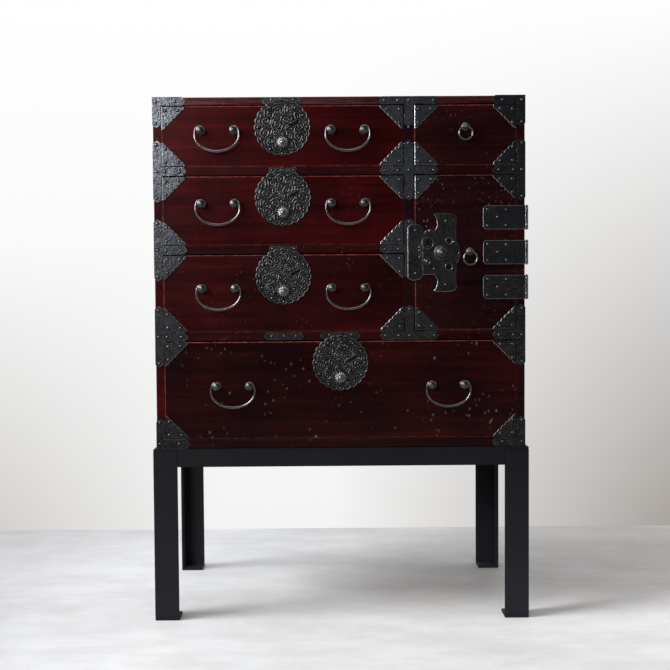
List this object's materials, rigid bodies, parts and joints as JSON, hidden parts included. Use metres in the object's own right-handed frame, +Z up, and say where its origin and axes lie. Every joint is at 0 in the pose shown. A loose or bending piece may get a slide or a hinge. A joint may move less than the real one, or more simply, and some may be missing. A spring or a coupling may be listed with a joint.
{
  "type": "small tansu chest on a stand",
  "caption": "Lacquered wooden drawer chest with wrought iron fittings, side door and bail handles, standing on a black angle-steel frame with straight legs.",
  "frame": {"origin": "on the floor, at the middle of the whole object's bounding box", "axes": "+Z up, +X to the right as seen from the front, +Y to the back; the drawers open towards -Y"},
  "size_m": [0.625, 0.378, 0.8696],
  "materials": {
    "lacquered_wood": "worn red-brown lacquer",
    "bare_wood": "bare, aged",
    "wrought_iron": "blackened, hammered",
    "stand_steel": "matte black"
  },
  "bodies": {
    "chest": {"back_panel": "bare_wood", "bottom_board": "lacquered_wood", "column_divider": "lacquered_wood", "divider_irons": "wrought_iron", "hinge_pins": "wrought_iron", "hinge_side_leaves": "wrought_iron", "irons_left": "wrought_iron", "irons_right": "wrought_iron", "left_shelf_lower": "lacquered_wood", "left_shelf_upper": "lacquered_wood", "right_shelf": "lacquered_wood", "side_left": "lacquered_wood", "side_right": "lacquered_wood", "stand_feet": "stand_steel", "stand_legs": "stand_steel", "stand_rails_long": "stand_steel", "stand_rails_side": "stand_steel", "strike_plates": "wrought_iron", "top_board": "lacquered_wood", "wide_shelf": "lacquered_wood"},
    "drawer_1": {"drawer_1_box": "bare_wood", "drawer_1_front": "lacquered_wood", "drawer_1_corner_plates": "wrought_iron", "drawer_1_lock": "wrought_iron", "drawer_1_bail_posts": "wrought_iron"},
    "drawer_1_bail_left": {"drawer_1_bail_left": "wrought_iron"},
    "drawer_1_bail_right": {"drawer_1_bail_right": "wrought_iron"},
    "drawer_2": {"drawer_2_box": "bare_wood", "drawer_2_front": "lacquered_wood", "drawer_2_corner_plates": "wrought_iron", "drawer_2_lock": "wrought_iron", "drawer_2_bail_posts": "wrought_iron"},
    "drawer_2_bail_left": {"drawer_2_bail_left": "wrought_iron"},
    "drawer_2_bail_right": {"drawer_2_bail_right": "wrought_iron"},
    "drawer_3": {"drawer_3_box": "bare_wood", "drawer_3_front": "lacquered_wood", "drawer_3_corner_plates": "wrought_iron", "drawer_3_lock": "wrought_iron", "drawer_3_bail_posts": "wrought_iron"},
    "drawer_3_bail_left": {"drawer_3_bail_left": "wrought_iron"},
    "drawer_3_bail_right": {"drawer_3_bail_right": "wrought_iron"},
    "drawer_4": {"drawer_4_box": "bare_wood", "drawer_4_front": "lacquered_wood", "drawer_4_corner_plates": "wrought_iron", "drawer_4_lock": "wrought_iron", "drawer_4_bail_posts": "wrought_iron"},
    "drawer_4_bail_left": {"drawer_4_bail_left": "wrought_iron"},
    "drawer_4_bail_right": {"drawer_4_bail_right": "wrought_iron"},
    "small_drawer": {"small_drawer_box": "bare_wood", "small_drawer_front": "lacquered_wood", "small_drawer_corner_plates": "wrought_iron", "small_drawer_ring_post": "wrought_iron"},
    "small_drawer_ring": {"small_drawer_ring": "wrought_iron"},
    "door": {"door_panel": "lacquered_wood", "door_corner_plates": "wrought_iron", "door_ring_post": "wrought_iron", "door_catch_plate": "wrought_iron", "door_lock": "wrought_iron", "hinge_door_leaves": "wrought_iron"},
    "door_ring": {"door_ring": "wrought_iron"}
  },
  "joints": [
    {"name": "drawer_1_slide", "type": "slide", "parent": "chest", "child": "drawer_1", "axis": [0, -1, 0], "range_m": [0, 0.27]},
    {"name": "drawer_1_bail_left_pivot", "type": "hinge", "parent": "drawer_1", "child": "drawer_1_bail_left", "pos_m": [-0.20055, -0.18531, 0.8136], "axis": [-1, 0, 0], "range_deg": [-10, 190]},
    {"name": "drawer_1_bail_right_pivot", "type": "hinge", "parent": "drawer_1", "child": "drawer_1_bail_right", "pos_m": [0.01405, -0.18531, 0.8136], "axis": [-1, 0, 0], "range_deg": [-10, 190]},
    {"name": "drawer_2_slide", "type": "slide", "parent": "chest", "child": "drawer_2", "axis": [0, -1, 0], "range_m": [0, 0.27]},
    {"name": "drawer_2_bail_left_pivot", "type": "hinge", "parent": "drawer_2", "child": "drawer_2_bail_left", "pos_m": [-0.20055, -0.18531, 0.6936], "axis": [-1, 0, 0], "range_deg": [-10, 190]},
    {"name": "drawer_2_bail_right_pivot", "type": "hinge", "parent": "drawer_2", "child": "drawer_2_bail_right", "pos_m": [0.01405, -0.18531, 0.6936], "axis": [-1, 0, 0], "range_deg": [-10, 190]},
    {"name": "drawer_3_slide", "type": "slide", "parent": "chest", "child": "drawer_3", "axis": [0, -1, 0], "range_m": [0, 0.27]},
    {"name": "drawer_3_bail_left_pivot", "type": "hinge", "parent": "drawer_3", "child": "drawer_3_bail_left", "pos_m": [-0.20055, -0.18531, 0.5539], "axis": [-1, 0, 0], "range_deg": [-10, 190]},
    {"name": "drawer_3_bail_right_pivot", "type": "hinge", "parent": "drawer_3", "child": "drawer_3_bail_right", "pos_m": [0.01405, -0.18531, 0.5539], "axis": [-1, 0, 0], "range_deg": [-10, 190]},
    {"name": "drawer_4_slide", "type": "slide", "parent": "chest", "child": "drawer_4", "axis": [0, -1, 0], "range_m": [0, 0.27]},
    {"name": "drawer_4_bail_left_pivot", "type": "hinge", "parent": "drawer_4", "child": "drawer_4_bail_left", "pos_m": [-0.1785, -0.18531, 0.392], "axis": [-1, 0, 0], "range_deg": [-10, 190]},
    {"name": "drawer_4_bail_right_pivot", "type": "hinge", "parent": "drawer_4", "child": "drawer_4_bail_right", "pos_m": [0.1785, -0.18531, 0.392], "axis": [-1, 0, 0], "range_deg": [-10, 190]},
    {"name": "small_drawer_slide", "type": "slide", "parent": "chest", "child": "small_drawer", "axis": [0, -1, 0], "range_m": [0, 0.27]},
    {"name": "small_drawer_ring_swing", "type": "hinge", "parent": "small_drawer", "child": "small_drawer_ring", "pos_m": [0.20825, -0.18231, 0.8176], "axis": [-1, 0, 0], "range_deg": [-12, 120]},
    {"name": "door_hinge", "type": "hinge", "parent": "chest", "child": "door", "pos_m": [0.3096, -0.17271, 0.61095], "axis": [0, 0, 1], "range_deg": [0, 180]},
    {"name": "door_ring_swing", "type": "hinge", "parent": "door", "child": "door_ring", "pos_m": [0.2155, -0.18231, 0.61235], "axis": [-1, 0, 0], "range_deg": [-12, 120]}
  ]
}
